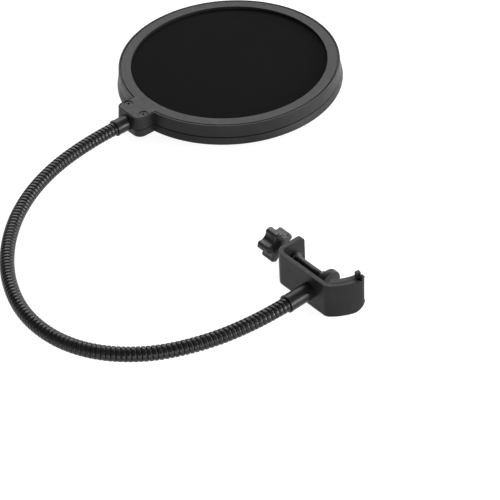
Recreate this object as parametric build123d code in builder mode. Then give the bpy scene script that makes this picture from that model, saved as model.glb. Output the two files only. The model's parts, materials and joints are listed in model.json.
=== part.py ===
"""Pop filter: a round two-layer screen on a gooseneck arm, with a screw clamp for a stand tube.

Millimetres, +Z up. The origin is in the clamp's mouth, where the axis of the stand tube comes,
half way up the clamp strip. +X runs along the clamp screw from its knob to the jaw, and +Y
points out of the mouth, away from the neck. The neck leaves the clamp towards -Y, turns half
round clockwise seen from above, and reaches the screen, which lies flat at the same height.
"""
import os
from math import cos, degrees, radians, sin, tan

from build123d import *

os.makedirs("parts", exist_ok=True)

# ---------------------------------------------------------------- driving dimensions
# Screen head
ring_diameter = 156.4           # over the front shell, at the seam
opening_diameter = 137.4        # clear opening of both shells
head_thickness = 14.6
back_shell_height = 5.4         # the seam lies this far above the back face
flange_thickness = 2.2          # flat rings in front of and behind the screens
shell_wall = 2.5                # at the front face
wall_draft = 0.9                # the front shell is this much smaller in radius at its face
band_flare = 1.2                # the back shell swells out this far past the seam
back_bevel = 0.7
seam_line_height = 0.6          # rabbet round the front shell, next to the seam
seam_line_depth = 0.8
lip_height = 2.5                # locating rim of the back shell, inside the front shell
lip_thickness = 1.6
fit_gap = 0.1                   # radial clearance between parts that push together
screen_thickness = 0.4
screen_trim = 0.2               # each screen is cut this far inside its hoop's edge
hoop_clearance = 0.4            # radial, inside the locating rim
hoop_width = 3.6
hoop_height = 1.9
groove_width = 0.8
groove_depth = 1.2
groove_inset = 0.9              # from the edge of the face

# Lug on the ring, which holds the neck
lug_width = 26.2                # at the seam
lug_reach = 13.0                # at the seam, beyond the ring's own radius
lug_corner = 6.0
lug_draft = 6.0                 # degrees, narrower towards the front face
back_lug_inset = 0.3            # the back shell's lug is this much smaller all round
lug_screw_spacing = 16.4
lug_screw_inset = 8.9           # from the lug's front face
lug_screw_recess = 6.0
lug_groove_width = 0.6
lug_groove_inset = 0.35
lug_screw_head = 5.2
lug_screw_diameter = 3.0
lug_screw_sunk = 0.5            # top of the head below the face
lug_screw_head_height = 1.6
lug_screw_depth = 13.2          # from the face to the tip
lug_recess_length = 3.4         # cross recess
lug_recess_width = 0.8
lug_recess_depth = 1.0

# Neck
neck_diameter = 9.2
neck_length = 380.0             # free length between its two ferrules
link_bends = (11, 16, 25, 29, 25, 18, 15, 16, 15, 10)   # degrees each, from clamp to screen
winding_bore = 4.8
spring_bore = 3.2
neck_grip = 12.0                # length held in each ferrule
ball_relief = 0.15              # the ball is this much smaller in radius than the neck
socket_gap = 0.25               # between ball and socket
socket_setback = 2.3            # from the ball's centre to the socket's rim
spring_gap = 0.05

# Ferrules
ferrule_wall = 0.8              # round the neck
ferrule_lip_step = 0.25         # the lip stands this far out of the ferrule
ferrule_lip_width = 1.2
ferrule_edge = 0.15             # rounding of the lip
clamp_ferrule_length = 18.2
screen_ferrule_free = 9.9       # length that shows between neck and lug
screen_ferrule_held = 10.8      # length inside the lug
ferrule_flange_step = 1.0
ferrule_flange_width = 2.0
ferrule_flange_inset = 3.4      # from the lug's front face
fixing_screw_diameter = 4.0
fixing_screw_head = 7.6
fixing_screw_grip = 4.6         # thread length inside the ferrule
fixing_recess_length = 4.2      # cross recess
fixing_recess_width = 0.9
fixing_recess_depth = 1.2

# Clamp strip, bent from one flat bar
strip_width = 24.0
strip_thickness = 3.0
plate_face = -13.2              # Y of the plate's outer face
arm_face = -40.5                # X of the arm's outer face
arm_length = 21.9               # from the plate's outer face to the arm's free end
strip_bend = 6.0                # outside radius of the bends
jaw_start = 2.5                 # X where the plate ends and the jaw begins
jaw_bend_angle = 48.0
jaw_radius = 36.7               # outside radius of the curved jaw
jaw_sweep = 30.8
arm_corner = 4.0
jaw_lower_corner = 8.0          # of the jaw and its liner together
jaw_upper_corner = 1.5
ferrule_place = -9.4            # X of the neck's axis on the plate

# Rubber liner of the jaw
liner_thickness = 3.4
liner_start = 0.4               # degrees of the jaw's curve left bare next to its bend
liner_cap = 2.0                 # thickness over the jaw's free end
liner_proud = 0.2               # the liner stands this far above the strip
cap_rise = 2.4                  # lip of the cap above the strip
cap_round = 0.7
ear_length = 3.0
ear_height = 3.4
ear_thickness = 2.4
ear_place = 0.2                 # degrees of the jaw's curve back from its free end

# Clamp screw, its insert, foot and knob
screw_diameter = 6.0
screw_relief = 0.05             # the thread's crests are this much smaller in radius
screw_tip_chamfer = 0.4
insert_gap = 0.05
insert_diameter = 8.0
insert_flange_diameter = 9.0
insert_flange_width = 2.0
foot_face = -5.2                # X of the rubber face at rest
foot_length = 5.5
foot_hub_diameter = 8.0
foot_hub_length = 2.0
foot_diameter = 10.0
foot_edge = 0.7
foot_floor = 1.3
foot_gap = 0.05
foot_rubber_diameter = 16.4
foot_rubber_thickness = 2.5
foot_rubber_wrap = 1.2
foot_rubber_edge = 0.7
end_gap = 0.1                   # between the screw's tip and the foot's floor
snap_groove = 0.6               # depth of the groove in the screw's tip
snap_groove_inset = 0.6         # from the tip
snap_groove_width = 1.4
snap_ridge_width = 1.0
snap_ridge_root = 0.1           # how far the ridge starts inside the wall of the foot's bore
knob_diameter = 21.2            # over the lobes
knob_length = 10.0
knob_lobes = 5
knob_scallop = 4.0              # radius of the hollows between the lobes
knob_lobe_round = 2.0
knob_lobe_turn = 22.0           # degrees of the first lobe from +Y
knob_waist = 14.6               # diameter at the bottom of the hollows
knob_edge = 1.0
knob_hub_diameter = 9.4
knob_hub_length = 1.2
screw_reach = 40.2              # from the knob's hub to the screw's tip in the foot
knob_bore_depth = 8.0
cut_overrun = 2.0               # cuts that open through a face start this far outside it

# ---------------------------------------------------------------- values that follow
ring_radius = ring_diameter / 2
opening_radius = opening_diameter / 2
face_z = head_thickness / 2
seam_z = back_shell_height - face_z
inner_wall = ring_radius - wall_draft - shell_wall
flange_z = face_z - flange_thickness            # underside of the front flange
hoop_outer = inner_wall - fit_gap - lip_thickness - hoop_clearance
hoop_inner = hoop_outer - hoop_width
screen_radius = hoop_outer - screen_trim
neck_radius = neck_diameter / 2
ball_radius = neck_radius - ball_relief
socket_radius = ball_radius + socket_gap
spring_radius = winding_bore / 2 - spring_gap
ferrule_radius = neck_radius + ferrule_wall
ferrule_flange_radius = ferrule_radius + ferrule_flange_step
link_length = neck_length / len(link_bends)
last_link = len(link_bends) - 1
plate_inside = plate_face + strip_thickness
arm_inside = arm_face + strip_thickness
screw_radius = screw_diameter / 2 - screw_relief

# ---------------------------------------------------------------- route of the neck
clamp_exit = Vector(ferrule_place, plate_face - clamp_ferrule_length, 0)
exit_heading = 270.0            # degrees: straight away from the plate, towards -Y


def ahead(heading):
    """The direction of a heading in the neck's plane."""
    return Vector(cos(radians(heading)), sin(radians(heading)), 0)


def right_of(heading):
    """The direction to the right of a heading, seen from above."""
    return Vector(sin(radians(heading)), -cos(radians(heading)), 0)


def bend_radius(index):
    """Radius of the arc that link number index follows."""
    return link_length / radians(link_bends[index])


def along_link(start, heading, index, distance):
    """The point and the heading at a distance along a link, which turns right."""
    radius = bend_radius(index)
    centre = start + right_of(heading) * radius
    turned = heading - link_bends[index] * distance / link_length
    return centre - right_of(turned) * radius, turned


link_starts = [(clamp_exit, exit_heading)]
for index in range(len(link_bends)):
    link_starts.append(along_link(*link_starts[-1], index, link_length))
screen_exit, screen_heading = link_starts[-1]
for index, (point, heading) in enumerate(link_starts):
    print(f"joint {index}: {point.X:.3f} {point.Y:.3f}, heading {heading:.1f}")


def cross_plane(point, heading):
    """A plane across the neck: its normal looks ahead and its x axis points to the right."""
    return Plane(origin=point, x_dir=right_of(heading), z_dir=ahead(heading))


# The head's own frame: +Y from the lug to the screen's centre, +X to the right of that.
head_centre = screen_exit + ahead(screen_heading) * (screen_ferrule_free + lug_reach + ring_radius)
head_plane = Plane(origin=head_centre, x_dir=right_of(screen_heading), z_dir=(0, 0, 1))
head_section = Plane(origin=head_centre, x_dir=head_plane.x_dir, z_dir=-head_plane.y_dir)
head_axis = Axis(head_centre, (0, 0, 1))
lug_front = ring_radius + lug_reach             # distance from the head's axis
lug_lean = (face_z - seam_z) * tan(radians(lug_draft))   # how far the lug's walls lean in
print(f"head centre: {head_centre.X:.3f} {head_centre.Y:.3f}")


def lug_plan(inset, mode=Mode.ADD):
    """The lug's plan inside the current sketch, reaching well into the ring."""
    length = lug_reach + 2 * lug_corner
    with Locations((0, length / 2 - lug_front)):
        RectangleRounded(
            lug_width - 2 * inset, length - 2 * inset, lug_corner - inset, mode=mode
        )


# The seat of the screen ferrule, cut from both shells.
with BuildPart() as ferrule_pocket:
    with BuildSketch(cross_plane(screen_exit, screen_heading).offset(screen_ferrule_free - cut_overrun)):
        Circle(ferrule_radius + fit_gap)
    extrude(amount=cut_overrun + screen_ferrule_held + fit_gap)
    flange_start = screen_ferrule_free + ferrule_flange_inset - fit_gap
    with BuildSketch(cross_plane(screen_exit, screen_heading).offset(flange_start)):
        Circle(ferrule_flange_radius + fit_gap)
    extrude(amount=ferrule_flange_width + 2 * fit_gap)


# ---------------------------------------------------------------- screen head
lug_screw_places = [(side * lug_screw_spacing / 2, lug_screw_inset - lug_front) for side in (-1, 1)]
screw_floor = face_z - lug_screw_sunk - lug_screw_head_height

with BuildPart() as front_ring:
    with BuildSketch(head_plane.offset(seam_z)):
        lug_plan(0)
    extrude(amount=face_z - seam_z, taper=lug_draft)
    with BuildSketch(head_plane.offset(seam_z)):
        Circle(inner_wall)
    extrude(amount=flange_z - seam_z, mode=Mode.SUBTRACT)
    with BuildSketch(head_section):
        with BuildLine():
            Polyline(
                (opening_radius, face_z),
                (ring_radius - wall_draft, face_z),
                (ring_radius, seam_z),
                (inner_wall, seam_z),
                (inner_wall, flange_z),
                (opening_radius, flange_z),
                close=True,
            )
        make_face()
    revolve(axis=head_axis)
    with BuildSketch(head_plane.offset(seam_z)):
        Circle(ring_radius + cut_overrun)
        lug_plan(-cut_overrun)
        Circle(ring_radius - seam_line_depth, mode=Mode.SUBTRACT)
        lug_plan(seam_line_depth, Mode.SUBTRACT)
    extrude(amount=seam_line_height, mode=Mode.SUBTRACT)
    with BuildSketch(head_plane.offset(face_z)):
        Circle(opening_radius)
    extrude(amount=-flange_thickness, mode=Mode.SUBTRACT)
    add(ferrule_pocket.part, mode=Mode.SUBTRACT)
    with BuildSketch(head_plane.offset(screw_floor)):
        with Locations(*lug_screw_places):
            Circle(lug_screw_recess / 2)
    extrude(amount=face_z - screw_floor, mode=Mode.SUBTRACT)
    with BuildSketch(head_plane.offset(seam_z)):
        with Locations(*lug_screw_places):
            Circle(lug_screw_diameter / 2 + fit_gap)
    extrude(amount=face_z - seam_z, mode=Mode.SUBTRACT)
    with BuildSketch(head_plane.offset(face_z - groove_depth)):
        Circle(ring_radius - wall_draft - groove_inset)
        lug_plan(lug_lean + lug_groove_inset)
        Circle(ring_radius - wall_draft - groove_inset - groove_width, mode=Mode.SUBTRACT)
        lug_plan(lug_lean + lug_groove_inset + lug_groove_width, Mode.SUBTRACT)
    extrude(amount=groove_depth, mode=Mode.SUBTRACT)
front_ring.part.label = "front_ring"
export_step(front_ring.part, "parts/front_ring.step")

with BuildPart() as back_ring:
    with BuildSketch(head_plane.offset(-face_z)):
        lug_plan(back_lug_inset)
    extrude(amount=back_shell_height)
    with BuildSketch(head_plane.offset(-face_z)):
        Circle(inner_wall)
    extrude(amount=back_shell_height, mode=Mode.SUBTRACT)
    with BuildSketch(head_section):
        with BuildLine():
            Polyline(
                (opening_radius, -face_z),
                (ring_radius + band_flare - back_bevel, -face_z),
                (ring_radius + band_flare, -face_z + back_bevel),
                (ring_radius, seam_z),
                (inner_wall - fit_gap, seam_z),
                (inner_wall - fit_gap, seam_z + lip_height),
                (inner_wall - fit_gap - lip_thickness, seam_z + lip_height),
                (inner_wall - fit_gap - lip_thickness, -flange_z),
                (opening_radius, -flange_z),
                close=True,
            )
        make_face()
    revolve(axis=head_axis)
    add(ferrule_pocket.part, mode=Mode.SUBTRACT)
    with BuildSketch(head_plane.offset(face_z - lug_screw_depth)):
        with Locations(*lug_screw_places):
            Circle(lug_screw_diameter / 2)
    extrude(amount=lug_screw_depth, mode=Mode.SUBTRACT)
back_ring.part.label = "back_ring"
export_step(back_ring.part, "parts/back_ring.step")

with BuildPart() as lug_screws:
    with BuildSketch(head_plane.offset(screw_floor)):
        with Locations(*lug_screw_places):
            Circle(lug_screw_head / 2)
    extrude(amount=lug_screw_head_height)
    with BuildSketch(head_plane.offset(face_z - lug_screw_depth)):
        with Locations(*lug_screw_places):
            Circle(lug_screw_diameter / 2)
    extrude(amount=screw_floor - face_z + lug_screw_depth)
    with BuildSketch(head_plane.offset(face_z - lug_screw_sunk)):
        with Locations(*lug_screw_places):
            Rectangle(lug_recess_length, lug_recess_width, rotation=45)
            Rectangle(lug_recess_length, lug_recess_width, rotation=-45)
    extrude(amount=-lug_recess_depth, mode=Mode.SUBTRACT)
lug_screws.part.label = "lug_screws"
export_step(lug_screws.part, "parts/lug_screws.step")

# Each screen is stretched over a hoop; a spacer holds both hoops against the flanges.
screen_stack = flange_z - screen_thickness
with BuildPart() as front_screen:
    with BuildSketch(head_plane.offset(screen_stack)):
        Circle(screen_radius)
    extrude(amount=screen_thickness)
front_screen.part.label = "front_screen"
export_step(front_screen.part, "parts/front_screen.step")

with BuildPart() as back_screen:
    with BuildSketch(head_plane.offset(-screen_stack)):
        Circle(screen_radius)
    extrude(amount=-screen_thickness)
back_screen.part.label = "back_screen"
export_step(back_screen.part, "parts/back_screen.step")

with BuildPart() as front_hoop:
    with BuildSketch(head_plane.offset(screen_stack)):
        Circle(hoop_outer)
        Circle(hoop_inner, mode=Mode.SUBTRACT)
    extrude(amount=-hoop_height)
front_hoop.part.label = "front_hoop"
export_step(front_hoop.part, "parts/front_hoop.step")

with BuildPart() as back_hoop:
    with BuildSketch(head_plane.offset(-screen_stack)):
        Circle(hoop_outer)
        Circle(hoop_inner, mode=Mode.SUBTRACT)
    extrude(amount=hoop_height)
back_hoop.part.label = "back_hoop"
export_step(back_hoop.part, "parts/back_hoop.step")

with BuildPart() as spacer_ring:
    with BuildSketch(head_plane.offset(hoop_height - screen_stack)):
        Circle(hoop_outer)
        Circle(hoop_inner, mode=Mode.SUBTRACT)
    extrude(amount=2 * (screen_stack - hoop_height))
spacer_ring.part.label = "spacer_ring"
export_step(spacer_ring.part, "parts/spacer_ring.step")

# ---------------------------------------------------------------- ferrules
screen_ferrule_length = screen_ferrule_free + screen_ferrule_held
with BuildPart() as screen_ferrule:
    with BuildSketch(cross_plane(screen_exit, screen_heading)):
        Circle(ferrule_radius)
    extrude(amount=screen_ferrule_length)
    with BuildSketch(cross_plane(screen_exit, screen_heading)):
        Circle(ferrule_radius + ferrule_lip_step)
    extrude(amount=ferrule_lip_width)
    fillet(screen_ferrule.edges().filter_by(GeomType.CIRCLE).sort_by(SortBy.RADIUS)[-2:], ferrule_edge)
    with BuildSketch(
        cross_plane(screen_exit, screen_heading).offset(screen_ferrule_free + ferrule_flange_inset)
    ):
        Circle(ferrule_flange_radius)
    extrude(amount=ferrule_flange_width)
    with BuildSketch(cross_plane(screen_exit, screen_heading)):
        Circle(neck_radius)
    extrude(amount=neck_grip, mode=Mode.SUBTRACT)
screen_ferrule.part.label = "screen_ferrule"
export_step(screen_ferrule.part, "parts/screen_ferrule.step")

clamp_mouth = cross_plane(clamp_exit, exit_heading + 180)
with BuildPart() as clamp_ferrule:
    with BuildSketch(clamp_mouth):
        Circle(ferrule_radius)
    extrude(amount=clamp_ferrule_length)
    with BuildSketch(clamp_mouth):
        Circle(ferrule_radius + ferrule_lip_step)
    extrude(amount=ferrule_lip_width)
    fillet(clamp_ferrule.edges().filter_by(GeomType.CIRCLE).sort_by(SortBy.RADIUS)[-2:], ferrule_edge)
    with BuildSketch(clamp_mouth):
        Circle(neck_radius)
    extrude(amount=neck_grip, mode=Mode.SUBTRACT)
    with BuildSketch(clamp_mouth.offset(clamp_ferrule_length)):
        Circle(fixing_screw_diameter / 2)
    extrude(amount=-fixing_screw_grip, mode=Mode.SUBTRACT)
clamp_ferrule.part.label = "clamp_ferrule"
export_step(clamp_ferrule.part, "parts/clamp_ferrule.step")

# ---------------------------------------------------------------- gooseneck
# The neck is one winding that bends anywhere. It is divided into links that meet in ball
# joints, each an arc, with a length of the round inner spring in each.
for index, (start, heading) in enumerate(link_starts[:-1]):
    turn = Axis(start + right_of(heading) * bend_radius(index), (0, 0, -1))
    rim, rim_heading = along_link(start, heading, index, 0 if index == 0 else socket_setback)
    end, end_heading = link_starts[index + 1]
    swept = link_bends[index] * (1 if index == 0 else 1 - socket_setback / link_length)
    with BuildPart() as link:
        with BuildSketch(cross_plane(rim, rim_heading)):
            Circle(neck_radius)
            Circle(winding_bore / 2, mode=Mode.SUBTRACT)
        revolve(axis=turn, revolution_arc=swept)
        if index == 0:
            with BuildSketch(cross_plane(start, heading)):
                Circle(neck_radius)
                Circle(winding_bore / 2, mode=Mode.SUBTRACT)
            extrude(amount=-neck_grip)
        else:
            with Locations(start):
                Sphere(socket_radius, mode=Mode.SUBTRACT)
        if index == last_link:
            with BuildSketch(cross_plane(end, end_heading)):
                Circle(neck_radius)
                Circle(winding_bore / 2, mode=Mode.SUBTRACT)
            extrude(amount=neck_grip)
        else:
            with Locations(cross_plane(end, end_heading)):
                Sphere(ball_radius, arc_size1=0, align=(Align.CENTER, Align.CENTER, Align.MIN))
            with BuildSketch(cross_plane(end, end_heading)):
                Circle(winding_bore / 2)
            extrude(amount=ball_radius, mode=Mode.SUBTRACT)
    link.part.label = f"neck_link_{index + 1:02d}"
    export_step(link.part, f"parts/neck_link_{index + 1:02d}.step")

    spring_start = 0 if index == 0 else socket_radius
    near, near_heading = along_link(start, heading, index, spring_start)
    spring_sweep = link_bends[index] * (1 - spring_start / link_length)
    with BuildPart() as spring:
        with BuildSketch(cross_plane(near, near_heading)):
            Circle(spring_radius)
            Circle(spring_bore / 2, mode=Mode.SUBTRACT)
        revolve(axis=turn, revolution_arc=spring_sweep)
        if index == 0:
            with BuildSketch(cross_plane(start, heading)):
                Circle(spring_radius)
                Circle(spring_bore / 2, mode=Mode.SUBTRACT)
            extrude(amount=-neck_grip)
        if index == last_link:
            with BuildSketch(cross_plane(end, end_heading)):
                Circle(spring_radius)
                Circle(spring_bore / 2, mode=Mode.SUBTRACT)
            extrude(amount=neck_grip)
    spring.part.label = f"neck_spring_{index + 1:02d}"
    export_step(spring.part, f"parts/neck_spring_{index + 1:02d}.step")

# ---------------------------------------------------------------- clamp bracket
countersink_depth = (fixing_screw_head - fixing_screw_diameter) / 2
ferrule_seat = Plane(origin=(ferrule_place, plate_inside, 0), x_dir=(1, 0, 0), z_dir=(0, -1, 0))
arm_end_y = plate_face + arm_length
arm_plane = Plane.YZ.offset(arm_face)

# The outer face of the bent strip, seen from above.
with BuildLine() as strip_line:
    arm = Line((arm_face, arm_end_y), (arm_face, plate_face + strip_bend))
    corner = JernArc(arm @ 1, arm % 1, strip_bend, 90)
    plate = Line(corner @ 1, (jaw_start, plate_face))
    jaw_bend = JernArc(plate @ 1, plate % 1, strip_bend, jaw_bend_angle)
    jaw = JernArc(jaw_bend @ 1, jaw_bend % 1, jaw_radius, jaw_sweep)

jaw_centre = jaw.arc_center
jaw_from = jaw_bend_angle - 90                  # directions from the jaw's centre of curvature
jaw_to = jaw_from + jaw_sweep
liner_back = jaw_radius - strip_thickness
liner_face = liner_back - liner_thickness
cap_angle = degrees(liner_cap / liner_back)
cap_way = ahead(jaw_to + cap_angle)             # from the jaw's centre to the liner's end
cap_end = Plane(origin=jaw_centre + cap_way * liner_face, x_dir=jaw % 1, z_dir=cap_way)

# What the rounded lower corner takes off the jaw and its liner.
with BuildPart() as jaw_corner:
    with BuildSketch(cap_end.offset(-cut_overrun)):
        with Locations((cut_overrun, -strip_width / 2 - cut_overrun)):
            Rectangle(
                jaw_lower_corner + cut_overrun,
                jaw_lower_corner + cut_overrun,
                align=(Align.MAX, Align.MIN),
            )
        with Locations((-jaw_lower_corner, jaw_lower_corner - strip_width / 2)):
            Circle(jaw_lower_corner, mode=Mode.SUBTRACT)
    extrude(amount=liner_thickness + strip_thickness + 2 * cut_overrun)

with BuildPart() as clamp_bracket:
    with BuildSketch(Plane.XY.offset(-strip_width / 2)):
        with BuildLine():
            add(strip_line.line)
            offset(amount=strip_thickness, side=Side.LEFT)
        make_face()
    extrude(amount=strip_width)
    arm_end_edges = clamp_bracket.faces().filter_by(Axis.Y).sort_by(Axis.Y)[-1].edges()
    fillet(arm_end_edges.filter_by(Axis.X), arm_corner)
    jaw_tip = jaw @ 1 + Vector(-(jaw % 1).Y, (jaw % 1).X) * strip_thickness / 2
    jaw_end = clamp_bracket.faces().sort_by_distance(jaw_tip)[0]
    fillet(jaw_end.edges().sort_by(Axis.Z)[-1], jaw_upper_corner)
    add(jaw_corner.part, mode=Mode.SUBTRACT)
    with BuildSketch(arm_plane):
        Circle(insert_diameter / 2)
    extrude(amount=strip_thickness, mode=Mode.SUBTRACT)
    with BuildSketch(ferrule_seat):
        Circle(fixing_screw_diameter / 2 + fit_gap)
    extrude(amount=strip_thickness, mode=Mode.SUBTRACT)
    with BuildSketch(ferrule_seat):
        Circle(fixing_screw_head / 2)
    extrude(amount=countersink_depth, taper=45, mode=Mode.SUBTRACT)
clamp_bracket.part.label = "clamp_bracket"
export_step(clamp_bracket.part, "parts/clamp_bracket.step")

# ---------------------------------------------------------------- jaw liner
ear_angle = degrees(ear_length / liner_back)
ear_middle = jaw_to - ear_place
ear_face = liner_face + (liner_thickness - ear_thickness) / 2


def jaw_band(inner, outer, start, end):
    """A stretch of a band that is concentric with the jaw."""
    with BuildSketch() as band:
        with BuildLine():
            near_arc = CenterArc(jaw_centre, inner, start, end - start)
            far_arc = CenterArc(jaw_centre, outer, start, end - start)
            Line(near_arc @ 0, far_arc @ 0)
            Line(near_arc @ 1, far_arc @ 1)
        make_face()
    return band.sketch


with BuildPart() as jaw_liner:
    with BuildSketch(Plane.XY.offset(strip_width / 2)):
        add(jaw_band(liner_back, jaw_radius, jaw_to, jaw_to + cap_angle))
    extrude(amount=cap_rise)
    fillet(jaw_liner.faces().sort_by(Axis.Z)[-1].edges(), cap_round)
    with BuildSketch(Plane.XY.offset(-strip_width / 2)):
        add(jaw_band(liner_face, liner_back, jaw_from + liner_start, jaw_to + cap_angle))
    extrude(amount=strip_width + liner_proud)
    with BuildSketch(Plane.XY.offset(-strip_width / 2)):
        add(jaw_band(liner_back, jaw_radius, jaw_to, jaw_to + cap_angle))
    extrude(amount=strip_width)
    with BuildSketch(Plane.XY.offset(strip_width / 2 + liner_proud)):
        add(
            jaw_band(
                ear_face,
                ear_face + ear_thickness,
                ear_middle - ear_angle / 2,
                ear_middle + ear_angle / 2,
            )
        )
    extrude(amount=ear_height - liner_proud)
    add(jaw_corner.part, mode=Mode.SUBTRACT)
jaw_liner.part.label = "jaw_liner"
export_step(jaw_liner.part, "parts/jaw_liner.step")

# ---------------------------------------------------------------- fixing screw of the neck
with BuildPart() as fixing_screw:
    with BuildSketch(ferrule_seat):
        Circle(fixing_screw_diameter / 2)
    extrude(amount=strip_thickness + fixing_screw_grip)
    with BuildSketch(ferrule_seat):
        Circle(fixing_screw_head / 2)
    extrude(amount=countersink_depth, taper=45)
    with BuildSketch(ferrule_seat):
        Rectangle(fixing_recess_length, fixing_recess_width, rotation=45)
        Rectangle(fixing_recess_length, fixing_recess_width, rotation=-45)
    extrude(amount=fixing_recess_depth, mode=Mode.SUBTRACT)
fixing_screw.part.label = "fixing_screw"
export_step(fixing_screw.part, "parts/fixing_screw.step")

# ---------------------------------------------------------------- clamp screw
with BuildPart() as thread_insert:
    with BuildSketch(arm_plane):
        Circle(insert_diameter / 2)
    extrude(amount=strip_thickness)
    with BuildSketch(Plane.YZ.offset(arm_inside)):
        Circle(insert_flange_diameter / 2)
    extrude(amount=insert_flange_width)
    with BuildSketch(arm_plane):
        Circle(screw_radius + insert_gap)
    extrude(amount=strip_thickness + insert_flange_width, mode=Mode.SUBTRACT)
thread_insert.part.label = "thread_insert"
export_step(thread_insert.part, "parts/thread_insert.step")

foot_front = foot_face - foot_rubber_thickness
foot_back = foot_front - foot_length
screw_tip = foot_front - foot_floor - end_gap
knob_hub_face = screw_tip - screw_reach
knob_face = knob_hub_face - knob_hub_length
knob_back = knob_face - knob_length
groove_start = screw_tip - snap_groove_inset - snap_groove_width
ridge_start = groove_start + (snap_groove_width - snap_ridge_width) / 2

with BuildPart() as clamp_screw:
    with BuildSketch(Plane.YZ.offset(knob_hub_face - knob_bore_depth)):
        Circle(screw_radius)
    extrude(amount=knob_bore_depth + screw_reach)
    chamfer(clamp_screw.faces().sort_by(Axis.X)[-1].edges(), screw_tip_chamfer)
    with BuildSketch(Plane.YZ.offset(groove_start)):
        Circle(screw_radius + cut_overrun)
        Circle(screw_radius - snap_groove, mode=Mode.SUBTRACT)
    extrude(amount=snap_groove_width, mode=Mode.SUBTRACT)
clamp_screw.part.label = "clamp_screw"
export_step(clamp_screw.part, "parts/clamp_screw.step")

with BuildPart() as foot:
    with BuildSketch(Plane.YZ.offset(foot_back)):
        Circle(foot_hub_diameter / 2)
    extrude(amount=foot_hub_length)
    with BuildSketch(Plane.YZ.offset(foot_back + foot_hub_length)):
        Circle(foot_diameter / 2)
    extrude(amount=foot_length - foot_hub_length)
    fillet(foot.edges().filter_by(GeomType.CIRCLE).group_by(Axis.X)[1][-1], foot_edge)
    with BuildSketch(Plane.YZ.offset(foot_back)):
        Circle(screw_radius + foot_gap)
    extrude(amount=foot_length - foot_floor, mode=Mode.SUBTRACT)
    with BuildSketch(Plane.YZ.offset(ridge_start)):
        Circle(screw_radius + foot_gap + snap_ridge_root)
        Circle(screw_radius - snap_groove + foot_gap, mode=Mode.SUBTRACT)
    extrude(amount=snap_ridge_width)
foot.part.label = "foot"
export_step(foot.part, "parts/foot.step")

with BuildPart() as foot_rubber:
    with BuildSketch(Plane.YZ.offset(foot_front - foot_rubber_wrap)):
        Circle(foot_rubber_diameter / 2)
    extrude(amount=foot_rubber_wrap + foot_rubber_thickness)
    fillet(foot_rubber.edges(), foot_rubber_edge)
    with BuildSketch(Plane.YZ.offset(foot_front - foot_rubber_wrap)):
        Circle(foot_diameter / 2)
    extrude(amount=foot_rubber_wrap, mode=Mode.SUBTRACT)
foot_rubber.part.label = "foot_rubber"
export_step(foot_rubber.part, "parts/foot_rubber.step")

with BuildPart() as knob:
    with BuildSketch(Plane.YZ.offset(knob_back)) as knob_plan:
        Circle(knob_diameter / 2)
        scallop_place = knob_waist / 2 + knob_scallop
        with PolarLocations(scallop_place, knob_lobes, knob_lobe_turn + 180 / knob_lobes):
            Circle(knob_scallop, mode=Mode.SUBTRACT)
        fillet(knob_plan.vertices(), knob_lobe_round)
    extrude(amount=knob_length)
    fillet(knob.edges().filter_by(Plane.YZ), knob_edge)
    with BuildSketch(Plane.YZ.offset(knob_face)):
        Circle(knob_hub_diameter / 2)
    extrude(amount=knob_hub_length)
    with BuildSketch(Plane.YZ.offset(knob_hub_face)):
        Circle(screw_radius)
    extrude(amount=-knob_bore_depth, mode=Mode.SUBTRACT)
knob.part.label = "knob"
export_step(knob.part, "parts/knob.step")
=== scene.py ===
# %% [markdown]
# # A pop filter on a gooseneck
#
# A pop filter stands in front of a studio microphone and breaks up the gusts of breath from
# words that start with P or B. This one has a round plastic ring with two layers of nylon, a
# flexible metal neck, and a clamp that grips a microphone stand. We start by loading the
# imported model, which fixes every size and every joint. The looks are then built around it.

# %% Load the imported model
import json
from math import atan2, cos, pi, radians, sin, tan

import bpy
from mathutils import Matrix, Vector


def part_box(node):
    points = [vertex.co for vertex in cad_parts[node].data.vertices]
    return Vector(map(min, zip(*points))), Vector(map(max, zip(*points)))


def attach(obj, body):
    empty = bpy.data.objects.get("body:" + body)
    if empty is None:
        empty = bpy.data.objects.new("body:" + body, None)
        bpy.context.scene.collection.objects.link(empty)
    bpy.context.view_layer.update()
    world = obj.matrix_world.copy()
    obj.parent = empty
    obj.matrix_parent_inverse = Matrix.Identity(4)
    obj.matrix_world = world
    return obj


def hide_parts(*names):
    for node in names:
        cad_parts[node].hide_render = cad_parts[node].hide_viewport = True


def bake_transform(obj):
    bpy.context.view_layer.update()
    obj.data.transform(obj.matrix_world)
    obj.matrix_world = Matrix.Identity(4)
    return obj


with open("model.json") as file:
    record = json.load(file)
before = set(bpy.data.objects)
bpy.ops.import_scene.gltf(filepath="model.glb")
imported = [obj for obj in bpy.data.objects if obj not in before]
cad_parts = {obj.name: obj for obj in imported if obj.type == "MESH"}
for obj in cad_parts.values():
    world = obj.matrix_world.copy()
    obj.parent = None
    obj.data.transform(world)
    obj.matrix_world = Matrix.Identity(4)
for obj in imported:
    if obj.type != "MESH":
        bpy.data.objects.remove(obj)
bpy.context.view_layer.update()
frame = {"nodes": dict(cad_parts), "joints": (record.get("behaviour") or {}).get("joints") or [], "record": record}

nodes = frame["nodes"]

# %% [markdown]
# ## Small habits
#
# An operator acts on everything that is selected, so each step begins with nothing selected.
# These few helpers do what a modeller's hands do: select one object, go in and out of edit
# mode, apply a modifier, join doubled vertices, and shade a piece smoothly.

# %% Helpers for selecting and editing
MM = 0.001


def select_only(piece):
    """Selects one object, makes it active, and leaves all others alone."""
    bpy.ops.object.select_all(action="DESELECT")
    piece.select_set(True)
    bpy.context.view_layer.objects.active = piece


def edit(piece):
    """Opens a piece in edit mode."""
    select_only(piece)
    bpy.ops.object.mode_set(mode="EDIT")


def done():
    """Goes back to object mode."""
    bpy.ops.object.mode_set(mode="OBJECT")


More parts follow.
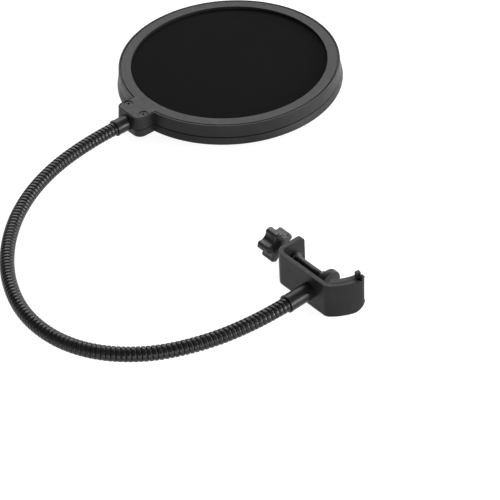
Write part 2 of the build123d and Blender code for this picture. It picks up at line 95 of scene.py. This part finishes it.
def apply_modifier(piece, kind, **settings):
    """Adds a modifier, sets it, and applies it."""
    select_only(piece)
    modifier = piece.modifiers.new(kind.title(), kind)
    for setting, value in settings.items():
        setattr(modifier, setting, value)
    bpy.ops.object.modifier_apply(modifier=modifier.name)


def merge_and_face_outward(piece, distance):
    """Joins vertices that lie together, then turns all faces outwards."""
    edit(piece)
    bpy.ops.mesh.select_all(action="SELECT")
    bpy.ops.mesh.remove_doubles(threshold=distance)
    bpy.ops.mesh.normals_make_consistent(inside=False)
    done()


def smooth(piece, degrees_sharp):
    """Smooth shading, with edges sharper than the angle left crisp."""
    select_only(piece)
    bpy.ops.object.shade_smooth_by_angle(angle=radians(degrees_sharp))


print("one millimetre is", MM, "of Blender's metres")

# %% [markdown]
# ## Camera
#
# The camera looks down at the filter from the front of the clamp, over the arc of the neck.
# A long lens keeps the ring's ellipse nearly true. We build the camera's rotation from the
# way it looks and the way that is up for it.

# %% Camera
camera_place = Vector((0.55101, -0.49878, 0.67037))
looks_along = Vector((-0.59532, 0.47015, -0.65158)).normalized()
camera_up = Vector((-0.47351, 0.44989, 0.75723)).normalized()
camera_right = looks_along.cross(camera_up).normalized()
camera_up = camera_right.cross(looks_along)

bpy.ops.object.select_all(action="DESELECT")
bpy.ops.object.camera_add()
camera = bpy.context.active_object
camera.name = "studio_camera"
turn = Matrix((camera_right, camera_up, -looks_along)).transposed()
camera.matrix_world = Matrix.Translation(camera_place) @ turn.to_4x4()
camera.data.lens = 121.0
camera.data.sensor_width = 36.0
camera.data.clip_start = 0.05
bpy.context.scene.camera = camera
print("camera distance from the origin:", round(camera_place.length, 3), "m")

# %% [markdown]
# ## Floor and light
#
# A black object shows its shape best in a tent of white cloth: light comes softly from all
# round, the floor runs out to pure white, and a brighter panel at one side draws a fine rim
# along the edges. A pale floor that glows a little, a soft world and four area lights give the
# same. The widest light stands behind and above, where flat faces mirror it to the camera.

# %% Floor, world and lights
floor_gap = 0.3 * MM
floor_size = 12.0
paper_grey = 0.3
paper_glow = 0.92
tent_glow = 0.2
lowest = min(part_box(node)[0].z for node in nodes)
bpy.ops.object.select_all(action="DESELECT")
bpy.ops.mesh.primitive_plane_add(size=floor_size, location=(0, 0, lowest - floor_gap))
floor = bpy.context.active_object
floor.name = "studio_floor"

floor_paper = bpy.data.materials.new("pale_paper")
floor_paper.use_nodes = True
paper = floor_paper.node_tree.nodes["Principled BSDF"]
paper.inputs["Base Color"].default_value = (paper_grey, paper_grey, paper_grey, 1)
paper.inputs["Roughness"].default_value = 0.9
paper.inputs["Specular IOR Level"].default_value = 0.1
paper.inputs["Emission Color"].default_value = (1, 1, 1, 1)
paper.inputs["Emission Strength"].default_value = paper_glow
floor.data.materials.append(floor_paper)

world = bpy.data.worlds.new("white_tent")
bpy.context.scene.world = world
world.use_nodes = True
tent = world.node_tree.nodes["Background"]
tent.inputs["Color"].default_value = (1, 1, 1, 1)
tent.inputs["Strength"].default_value = tent_glow

subject = Vector((-0.12, 0.0, 0.0))
behind = Vector((looks_along.x, looks_along.y, 0)).normalized()
to_the_right = Vector((camera_right.x, camera_right.y, 0)).normalized()


def panel(name, place, width, height, watts):
    """A rectangular light that points at the filter."""
    bpy.ops.object.select_all(action="DESELECT")
    bpy.ops.object.light_add(type="AREA", location=place)
    light = bpy.context.active_object
    light.name = name
    light.rotation_euler = (subject - place).to_track_quat("-Z", "Y").to_euler()
    light.data.shape = "RECTANGLE"
    light.data.size = width
    light.data.size_y = height
    light.data.energy = watts


upward = Vector((0, 0, 1))
# Name, place in metres from the filter, width, height and power.
panel("back_panel", subject + behind * 1.3 + upward * 1.15, 1.8, 1.0, 29)
panel("side_panel", subject + to_the_right * 1.2 + upward * 0.25 + behind * 0.5, 0.35, 0.9, 18)
panel("low_panel", subject + to_the_right * 1.2 + upward * 0.1 - behind * 0.4, 0.35, 0.5, 20)
panel("front_panel", subject - behind * 1.5 + upward * 0.08, 1.6, 0.25, 12)
bpy.context.scene.view_settings.view_transform = "Standard"
bpy.context.scene.view_settings.look = "None"
print("floor at", round(lowest - floor_gap, 5), "m")

# %% [markdown]
# ## How a finish is built
#
# A real surface is never one flat colour. Every finish here starts from the same recipe: a
# broad cloud of noise shifts its tone a little, a finer one shifts its roughness, and a very
# fine one raises a grain. The patterns read Object coordinates, which are metres on a finished
# piece, so a scale of 2000 gives grains about half a millimetre across.

# %% The common recipe
SLOT_MATERIALS = {}


def add_node(tree, kind, **settings):
    """A new shader node; settings name its options, or its inputs by their labels."""
    node = tree.nodes.new(kind)
    for setting, value in settings.items():
        if hasattr(node, setting):
            setattr(node, setting, value)
        else:
            node.inputs[setting.replace("_", " ")].default_value = value
    return node


def noise(tree, place, scale, detail=3.0, rough=0.55):
    """A noise pattern on the given coordinates."""
    pattern = add_node(tree, "ShaderNodeTexNoise", Scale=scale, Detail=detail, Roughness=rough)
    tree.links.new(place, pattern.inputs["Vector"])
    return pattern.outputs["Fac"]


def between(tree, value, low, high, start=0.3, end=0.7):
    """Turns a pattern that runs from start to end into values from low to high."""
    span = add_node(tree, "ShaderNodeMapRange")
    for label, number in (("From Min", start), ("From Max", end), ("To Min", low), ("To Max", high)):
        span.inputs[label].default_value = number
    tree.links.new(value, span.inputs["Value"])
    return span.outputs["Result"]


def tones(tree, value, dark, light, start=0.3, end=0.7):
    """Turns a pattern into a colour between two tones."""
    ramp = add_node(tree, "ShaderNodeValToRGB")
    ramp.color_ramp.elements[0].position = start
    ramp.color_ramp.elements[0].color = (*dark, 1)
    ramp.color_ramp.elements[1].position = end
    ramp.color_ramp.elements[1].color = (*light, 1)
    tree.links.new(value, ramp.inputs["Fac"])
    return ramp.outputs["Color"]


def relief(tree, height, depth, strength=1.0, under=None):
    """A bump of the given depth in metres, on top of another one if there is one."""
    bump = add_node(tree, "ShaderNodeBump", Strength=strength, Distance=depth)
    tree.links.new(height, bump.inputs["Height"])
    if under is not None:
        tree.links.new(under, bump.inputs["Normal"])
    return bump.outputs["Normal"]


def new_finish(slot_name, metal=0.0, specular=0.5):
    """A material for one of the record's slots. Returns its tree, shader and coordinates."""
    finish = bpy.data.materials.new(slot_name)
    finish.use_nodes = True
    tree = finish.node_tree
    shader = tree.nodes["Principled BSDF"]
    shader.inputs["Metallic"].default_value = metal
    shader.inputs["Specular IOR Level"].default_value = specular
    place = add_node(tree, "ShaderNodeTexCoord").outputs["Object"]
    SLOT_MATERIALS[slot_name] = finish
    return tree, shader, place


cloud_scale = 60     # clouds of tone about 17 mm across
wear_scale = 260     # patches of roughness about 4 mm across


def common_finish(slot_name, dark, light, rough, grain_scale, grain_depth, **shader_settings):
    """Clouded tone, uneven roughness and a fine grain."""
    tree, shader, place = new_finish(slot_name, **shader_settings)
    tree.links.new(tones(tree, noise(tree, place, cloud_scale), dark, light), shader.inputs["Base Color"])
    tree.links.new(between(tree, noise(tree, place, wear_scale), *rough), shader.inputs["Roughness"])
    grain = relief(tree, noise(tree, place, grain_scale, detail=2), grain_depth)
    tree.links.new(grain, shader.inputs["Normal"])
    return tree, shader, place, grain


print("clouds of", round(1000 / cloud_scale), "mm, wear in patches of", round(1000 / wear_scale), "mm")

# %% [markdown]
# ## Moulded plastic, hoops and knob
#
# The ring is ABS moulded in a spark-eroded tool, which leaves a fine even texture that
# scatters light: rather rough, with a sand-like grain of a quarter of a millimetre. Handling
# leaves slightly smoother, greyer patches. The knob comes from a smoother tool.

# %% Plastic finishes
tree, shader, place, grain = common_finish(
    "ring_plastic", (0.008, 0.008, 0.0084), (0.0118, 0.0118, 0.0122), (0.4, 0.5), 3600, 0.05 * MM,
    specular=0.22,
)
sand = add_node(tree, "ShaderNodeTexVoronoi", Scale=1900)
tree.links.new(place, sand.inputs["Vector"])
tree.links.new(relief(tree, sand.outputs["Distance"], 0.03 * MM, 0.6, grain), shader.inputs["Normal"])

common_finish(
    "hoop_plastic", (0.014, 0.014, 0.014), (0.02, 0.02, 0.02), (0.5, 0.62), 1500, 0.03 * MM,
    specular=0.3,
)
common_finish(
    "knob_plastic", (0.012, 0.012, 0.0125), (0.019, 0.019, 0.0195), (0.36, 0.48), 2600, 0.03 * MM,
    specular=0.4,
)
print("plastic finishes:", sorted(SLOT_MATERIALS))

# %% [markdown]
# ## Metal that is black
#
# Three blacks are on the metal parts. The clamp strip is powder coated, which flows into a
# faint orange peel. The ferrules are enamelled and polished, so they mirror the light panels
# in long streaks. The neck's wire and the screws are blackened and oiled: darker in the
# grooves, and a little brighter where hands and threads have rubbed them.

# %% Black metal finishes
tree, shader, place, grain = common_finish(
    "bracket_steel", (0.009, 0.009, 0.0094), (0.0135, 0.0135, 0.014), (0.34, 0.44), 4200, 0.02 * MM,
    specular=0.15,
)
peel = relief(tree, noise(tree, place, 750, detail=1), 0.06 * MM, 0.7, grain)
tree.links.new(peel, shader.inputs["Normal"])

common_finish(
    "ferrule_black", (0.008, 0.008, 0.009), (0.012, 0.012, 0.0125), (0.32, 0.42), 900, 0.01 * MM,
    specular=0.22,
)
common_finish(
    "black_screw", (0.008, 0.008, 0.009), (0.018, 0.018, 0.019), (0.36, 0.48), 2500, 0.02 * MM,
    specular=0.25,
)
common_finish(
    "neck_winding", (0.005, 0.005, 0.0054), (0.012, 0.012, 0.0124), (0.28, 0.4), 2400, 0.015 * MM,
    specular=0.3,
)
common_finish(
    "screw_steel", (0.008, 0.008, 0.009), (0.024, 0.024, 0.025), (0.26, 0.42), 2200, 0.015 * MM,
    metal=0.2, specular=0.4,
)
common_finish(
    "spring_steel", (0.3, 0.3, 0.31), (0.5, 0.5, 0.5), (0.25, 0.4), 2600, 0.01 * MM, metal=1.0
)
common_finish(
    "insert_steel", (0.03, 0.03, 0.031), (0.08, 0.08, 0.082), (0.22, 0.36), 2000, 0.02 * MM,
    metal=0.6, specular=0.7,
)
print("finishes so far:", len(SLOT_MATERIALS))

# %% [markdown]
# ## Rubber
#
# The jaw's liner and the foot's pad are moulded rubber: no gloss at all, a soft bloom of
# paler dust, and a grain that is coarser than the plastic's.

# %% Rubber finish
_, shader, _, _ = common_finish(
    "liner_rubber", (0.008, 0.008, 0.0085), (0.014, 0.014, 0.0145), (0.45, 0.6), 1700, 0.06 * MM,
    specular=0.25,
)
shader.inputs["Sheen Weight"].default_value = 0.06
shader.inputs["Sheen Roughness"].default_value = 0.5
print("finishes so far:", len(SLOT_MATERIALS))

# %% [markdown]
# ## Woven nylon
#
# The screens are plain-woven nylon, stretched tight. Warp and weft cross every 0.42 mm. Two
# waves at right angles make the threads: the higher of the two at each place gives the thread
# on top, and their product raises the crossings. Where both are low is a tiny hole, and its
# colour is painted shade: the threads get their own dark tone, the holes between them a darker
# one. The cloth is nearly black and shines a little along its threads, so it gets some sheen.

# %% Nylon finish
thread_step = 0.42 * MM
thread_roundness = 0.6
thread_relief = 0.12 * MM
tree, shader, place = new_finish("screen_nylon", specular=0.03)
split = add_node(tree, "ShaderNodeSeparateXYZ")
tree.links.new(place, split.inputs["Vector"])


def wave(tree, coordinate, step, power):
    """Rounded ridges, one each step along a coordinate."""
    turns = add_node(tree, "ShaderNodeMath", operation="MULTIPLY")
    turns.inputs[1].default_value = pi / step
    swing = add_node(tree, "ShaderNodeMath", operation="SINE")
    size = add_node(tree, "ShaderNodeMath", operation="ABSOLUTE")
    shape = add_node(tree, "ShaderNodeMath", operation="POWER")
    shape.inputs[1].default_value = power
    tree.links.new(coordinate, turns.inputs[0])
    tree.links.new(turns.outputs[0], swing.inputs[0])
    tree.links.new(swing.outputs[0], size.inputs[0])
    tree.links.new(size.outputs[0], shape.inputs[0])
    return shape.outputs[0]


warp = wave(tree, split.outputs["X"], thread_step, thread_roundness)
weft = wave(tree, split.outputs["Y"], thread_step, thread_roundness)
upper = add_node(tree, "ShaderNodeMath", operation="MAXIMUM")
both = add_node(tree, "ShaderNodeMath", operation="MULTIPLY")
for crossing in (upper, both):
    tree.links.new(warp, crossing.inputs[0])
    tree.links.new(weft, crossing.inputs[1])
weave = add_node(tree, "ShaderNodeMath", operation="ADD")
tree.links.new(upper.outputs[0], weave.inputs[0])
tree.links.new(both.outputs[0], weave.inputs[1])
cloud = noise(tree, place, 35, detail=4)
# Colour follows the weave's height: the threads get their own dark tone, and the low holes between them a darker
# painted shade.
thread_tone_and_hole_shade = tones(
    tree, weave.outputs[0], (0.0015, 0.0015, 0.0015), (0.0065, 0.0065, 0.0067), 0.35, 1.0
)
colour_a, colour_b, colour_result = 6, 7, 2  # a Mix node's sockets when it mixes colours
uneven = add_node(tree, "ShaderNodeMix", data_type="RGBA", blend_type="MULTIPLY")
uneven.inputs["Factor"].default_value = 1.0
tree.links.new(thread_tone_and_hole_shade, uneven.inputs[colour_a])
tree.links.new(tones(tree, cloud, (0.82, 0.82, 0.82), (1, 1, 1)), uneven.inputs[colour_b])
tree.links.new(uneven.outputs[colour_result], shader.inputs["Base Color"])
tree.links.new(between(tree, cloud, 0.72, 0.84), shader.inputs["Roughness"])
tree.links.new(relief(tree, weave.outputs[0], thread_relief, 0.6), shader.inputs["Normal"])
shader.inputs["Sheen Weight"].default_value = 0.015
shader.inputs["Sheen Roughness"].default_value = 0.4
print("all slots:", len(SLOT_MATERIALS))

# %% [markdown]
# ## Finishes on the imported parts
#
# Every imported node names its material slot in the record, and gets the finish made for that
# slot. A node that a better piece replaces later is simply not shown.

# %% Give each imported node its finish
slot_of = {part["node"]: part["material_slot"] for part in frame["record"]["subparts"]}
for name, node in nodes.items():
    node.data.materials.clear()
    node.data.materials.append(SLOT_MATERIALS[slot_of[name]])
    smooth(node, degrees_sharp=28)
print("finished nodes:", len(slot_of))


def place_piece(piece, name, slot_name, *replaced):
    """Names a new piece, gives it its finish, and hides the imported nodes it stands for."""
    piece.name = name
    piece.data.name = name
    piece.data.materials.clear()
    piece.data.materials.append(SLOT_MATERIALS[slot_name])
    if replaced:
        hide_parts(*replaced)
    return piece


# %% [markdown]
# ## Softened edges
#
# Nothing that leaves a mould or a press has knife edges: a radius of a few tenths of a
# millimetre runs along each of them, and it is this radius that catches the light. A packed
# node's own mesh stays as it is, so we round the edges of a copy. The copy's loose triangles
# are merged, the flat ones are joined into whole faces, and a Bevel modifier does the rest.
# A Weighted Normal modifier then keeps the big flat faces evenly shaded up to their edges.

# %% Round the edges of the mouldings and the strip
same_place = 0.001 * MM
far_band = 0.03 * MM
shortest_edge = 1 * MM


def round_far_edge(piece, radius):
    """Rounds the upright edges that lie furthest along X."""
    edit(piece)
    bpy.ops.mesh.select_all(action="DESELECT")
    done()
    furthest = max(vertex.co.x for vertex in piece.data.vertices)
    for edge in piece.data.edges:
        here, there = (piece.data.vertices[k].co for k in edge.vertices)
        outermost = min(here.x, there.x) > furthest - far_band
        edge.select = outermost and abs(here.z - there.z) > shortest_edge
    edit(piece)
    bpy.ops.mesh.select_mode(type="EDGE")
    bpy.ops.mesh.bevel(offset=radius, segments=6, affect="EDGES")
    bpy.ops.mesh.select_mode(type="VERT")
    done()


def softened_copy(node_name, name, body, radius, sharp=35, segments=2, far_edge=0.0):
    """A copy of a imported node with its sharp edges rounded; it takes the node's place."""
    piece = bpy.data.objects.new(name, nodes[node_name].data.copy())
    bpy.context.collection.objects.link(piece)
    edit(piece)
    bpy.ops.mesh.select_all(action="SELECT")
    bpy.ops.mesh.remove_doubles(threshold=same_place)
    bpy.ops.mesh.dissolve_limited(angle_limit=radians(0.5))
    done()
    if far_edge:
        round_far_edge(piece, far_edge)
    apply_modifier(
        piece, "BEVEL", width=radius, segments=segments, limit_method="ANGLE",
        angle_limit=radians(sharp), miter_outer="MITER_ARC",
    )
    smooth(piece, sharp)
    apply_modifier(piece, "WEIGHTED_NORMAL", weight=100, keep_sharp=True)
    place_piece(piece, name, slot_of[node_name], node_name)
    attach(piece, body)
    low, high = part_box(node_name)
    print(name, len(piece.data.polygons), "faces", [round(v / MM, 2) for v in high - low], "mm")


softened_copy("clamp_bracket", "clamp_strip", "clamp", 0.45 * MM)
softened_copy("front_ring", "front_shell", "screen", 0.15 * MM)
softened_copy("back_ring", "back_shell", "screen", 0.25 * MM)
softened_copy("jaw_liner", "jaw_rubber", "clamp", 0.2 * MM, far_edge=1.5 * MM)

# %% [markdown]
# ## The neck's line
#
# The neck is a chain of arcs. Each arc starts in the direction in which the last one ended, so
# the joint places in the record are enough to find every direction: the chord of an arc lies
# half way between the directions at its two ends. A Bezier curve through the joints, with
# handles of the right length, follows the arcs to a few hundredths of a millimetre.

# %% Draw the neck's line
clamp_ferrule_low, clamp_ferrule_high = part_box("clamp_ferrule")
screen_ferrule_low, screen_ferrule_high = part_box("screen_ferrule")
neck_start = Vector(((clamp_ferrule_low.x + clamp_ferrule_high.x) / 2, clamp_ferrule_low.y, 0))
neck_end = Vector(((screen_ferrule_low.x + screen_ferrule_high.x) / 2, screen_ferrule_low.y, 0))
neck_joints = [joint for joint in frame["joints"] if joint["name"].startswith("neck_")]
stations = [neck_start] + [Vector(joint["pos_m"]) for joint in neck_joints] + [neck_end]

headings = [-pi / 2]
for here, there in zip(stations, stations[1:]):
    chord = atan2(there.y - here.y, there.x - here.x)
    turned = (chord - headings[-1] + pi) % (2 * pi) - pi
    headings.append(headings[-1] + 2 * turned)
bends = [headings[k] - headings[k + 1] for k in range(len(stations) - 1)]
link_length = (stations[1] - stations[0]).length * (bends[0] / 2) / sin(bends[0] / 2)


def heading_vector(angle):
    """The unit vector of a heading in the plan."""
    return Vector((cos(angle), sin(angle), 0))


bpy.ops.object.select_all(action="DESELECT")
bpy.ops.curve.primitive_bezier_curve_add()
neck_line = bpy.context.active_object
neck_line.name = "neck_line"
neck_line.data.dimensions = "3D"
neck_line.data.twist_mode = "Z_UP"
neck_line.data.resolution_u = 24
spline = neck_line.data.splines[0]
spline.bezier_points.add(len(stations) - 2)
for k, point in enumerate(spline.bezier_points):
    bend = bends[min(k, len(bends) - 1)]
    bend_before = bends[max(k - 1, 0)]
    point.handle_left_type = point.handle_right_type = "FREE"
    point.co = stations[k]
    ahead = heading_vector(headings[k])
    point.handle_right = stations[k] + ahead * (4 / 3 * tan(bend / 4) * link_length / bend)
    point.handle_left = stations[k] - ahead * (4 / 3 * tan(bend_before / 4) * link_length / bend_before)
print("link length", round(link_length / MM, 3), "mm; line", round(spline.calc_length() / MM, 2), "mm")

# %% [markdown]
# ## A helical surface
#
# The neck's winding and the clamp screw's thread are both one profile that climbs as it turns.
# By hand one draws the outline of a single turn, vertex by vertex, and gives it a Screw
# modifier whose offset is the pitch: neighbouring turns then meet edge to edge.

# %% Screw a profile


def helical_strip(outline, pitch, turns, sides, start):
    """A surface that winds round X, from an outline of (along, radius) points in metres."""
    bpy.ops.object.select_all(action="DESELECT")
    bpy.ops.mesh.primitive_plane_add(size=1 * MM)
    piece = bpy.context.active_object
    bpy.ops.object.mode_set(mode="EDIT")
    bpy.ops.mesh.select_all(action="SELECT")
    bpy.ops.mesh.merge(type="CENTER")
    first = Vector((start + outline[0][0], 0, outline[0][1]))
    bpy.ops.transform.translate(value=first)
    for (along, radius), (next_along, next_radius) in zip(outline, outline[1:]):
        step = (next_along - along, 0, next_radius - radius)
        bpy.ops.mesh.extrude_vertices_move(TRANSFORM_OT_translate={"value": step})
    done()
    apply_modifier(
        piece, "SCREW", axis="X", screw_offset=pitch, iterations=turns, steps=sides,
        render_steps=sides, use_smooth_shade=True,
    )
    merge_and_face_outward(piece, pitch * 0.01)
    return piece


print("helical_strip is ready for the neck and the clamp screw")

# %% [markdown]
# ## The gooseneck
#
# The neck is steel wire of half-round section, wound tightly so that it bends but holds its
# shape. From outside it is a row of rounded turns with narrow dark grooves. The winding is
# made straight, given a wall, and bent along the neck's line with a Curve modifier. It comes
# in eleven stretches that meet along a groove: one stays with the clamp, one with the screen,
# and nine each span a joint and stay where they are made.

# %% Wind the neck
turns_per_link = 13
neck_pitch = link_length / turns_per_link
neck_low, neck_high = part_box("neck_link_05")
neck_radius = (neck_high.z - neck_low.z) / 2
groove_depth = 0.85 * MM
wire_wall = 0.8 * MM
winding_sides = 24
# One half of a ridge: the share of the pitch along, and the share of the groove's depth down.
ridge = ((0, 1.0), (0.06, 0.45), (0.14, 0.13), (0.28, 0.02), (0.5, 0.0))
winding_outline = [(a * neck_pitch, neck_radius - d * groove_depth) for a, d in ridge]
winding_outline += [((1 - a) * neck_pitch, neck_radius - d * groove_depth) for a, d in ridge[-2::-1]]
held_turns = 4
half_turns = 6


def winding(first_turn, turns):
    """A stretch of the winding, bent along the neck's line."""
    piece = helical_strip(winding_outline, neck_pitch, turns, winding_sides, first_turn * neck_pitch)
    apply_modifier(piece, "SOLIDIFY", thickness=wire_wall, offset=-1)
    apply_modifier(piece, "CURVE", object=neck_line, deform_axis="POS_X")
    smooth(piece, degrees_sharp=50)
    return piece


links = len(bends)
last_turns = turns_per_link - half_turns + held_turns - 1
stretches = [(-held_turns, held_turns + half_turns)]
stretches += [(half_turns + k * turns_per_link, turns_per_link) for k in range(links - 1)]
stretches += [(half_turns + (links - 1) * turns_per_link, last_turns)]
for k, (first_turn, turns) in enumerate(stretches):
    piece = winding(first_turn, turns)
    replaced = (f"neck_link_{k + 1:02d}",) if k < links else ()
    place_piece(piece, f"neck_winding_{k:02d}", "neck_winding", *replaced)
    if k == 0:
        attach(piece, "clamp")
    elif k == links:
        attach(piece, "screen")
    else:
        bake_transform(piece)
print("winding:", len(stretches), "stretches, pitch", round(neck_pitch / MM, 3), "mm")

# %% [markdown]
# ## The clamp screw
#
# The screw is M6 with a pitch of one millimetre. Its thread uses the same helical surface with
# a V outline. The strip is made longer than the screw, and two cuts with Bisect give it flat
# ends and close it. The tip inside the foot is then drawn out of the end face.

# %% Cut the clamp screw's thread
screw_low, screw_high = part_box("clamp_screw")
foot_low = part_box("foot")[0]
thread_depth = 0.5 * MM
thread_pitch = 1.0 * MM
spare_turns = 2
rod_sides = 24
crest = (screw_high.z - screw_low.z) / 2
root = crest - thread_depth
thread_outline = [
    (0, root), (0.4 * thread_pitch, crest), (0.58 * thread_pitch, crest), (0.98 * thread_pitch, root),
    (thread_pitch, root),
]
thread_end = foot_low.x + 0.4 * MM
thread_turns = int((thread_end - screw_low.x) / thread_pitch) + 2 * spare_turns
rod_start = screw_low.x - spare_turns * thread_pitch
rod = helical_strip(thread_outline, thread_pitch, thread_turns, rod_sides, rod_start)
edit(rod)
for cut_place, way in ((screw_low.x, -1), (thread_end, 1)):
    bpy.ops.mesh.select_all(action="SELECT")
    bpy.ops.mesh.bisect(
        plane_co=(cut_place, 0, 0), plane_no=(way, 0, 0), use_fill=True, clear_outer=True
    )
# Each step draws the end face out by a length and scales it: shank, snap groove, tip.
tip_steps = (
    (2.2 * MM, 0.97), (0.0, 0.8), (1.4 * MM, 1.0), (0.0, 1.24), (0.2 * MM, 1.0), (0.3 * MM, 0.9)
)
for length, scale in tip_steps:
    bpy.ops.mesh.extrude_region_move(TRANSFORM_OT_translate={"value": (length, 0, 0)})
    bpy.ops.transform.resize(value=(1, scale, scale), center_override=(0, 0, 0))
done()
merge_and_face_outward(rod, 0.005 * MM)
smooth(rod, degrees_sharp=30)
place_piece(rod, "clamp_screw_thread", "screw_steel", "clamp_screw")
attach(rod, "thumb_screw")
print("thread turns:", thread_turns)

# %% [markdown]
# ## The screens
#
# Each screen is a disc of nylon that is stretched over its hoop, as on a drum. We start from a
# filled circle and inset it ring by ring, so that the cloth can dip by a few hundredths of a
# millimetre towards its middle. Solidify then gives it the thickness of the cloth.

# %% Stretch the screens
cloth_thickness = 0.25 * MM
on_the_hoop = 3.4 * MM
ring_step = 11 * MM
dips = (0.0, 0.01, 0.03, 0.05, 0.065, 0.07)  # in millimetres, from the hoop inwards


def stretched_screen(node_name, name, outward):
    """A disc of cloth at a packed screen's place; outward is +1 for the front, -1 for the back."""
    low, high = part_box(node_name)
    centre = (low + high) / 2
    radius = (high.x - low.x) / 2
    level = high.z if outward > 0 else low.z
    bpy.ops.object.select_all(action="DESELECT")
    bpy.ops.mesh.primitive_circle_add(
        vertices=160, radius=radius, fill_type="NGON", location=(centre.x, centre.y, level)
    )
    cloth = bpy.context.active_object
    bpy.ops.object.transform_apply(location=True)
    edit(cloth)
    bpy.ops.mesh.select_all(action="SELECT")
    for ring, dip in enumerate(dips):
        bpy.ops.mesh.inset(thickness=on_the_hoop if ring == 0 else ring_step, depth=0)
        bpy.ops.transform.translate(value=(0, 0, -outward * dip * MM))
    bpy.ops.mesh.poke()
    if outward < 0:
        bpy.ops.mesh.select_all(action="SELECT")
        bpy.ops.mesh.flip_normals()
    done()
    apply_modifier(cloth, "SOLIDIFY", thickness=cloth_thickness, offset=-1)
    smooth(cloth, degrees_sharp=40)
    place_piece(cloth, name, "screen_nylon", node_name)
    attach(cloth, "screen")
    print(name, "radius", round(radius / MM, 2), "mm")


stretched_screen("front_screen", "front_cloth", 1)
stretched_screen("back_screen", "back_cloth", -1)

# %% [markdown]
# ## Tidy up
#
# The neck's line was only a guide for the Curve modifier, so it is removed.

# %% Finish
bpy.data.objects.remove(neck_line, do_unlink=True)
bpy.ops.object.select_all(action="DESELECT")
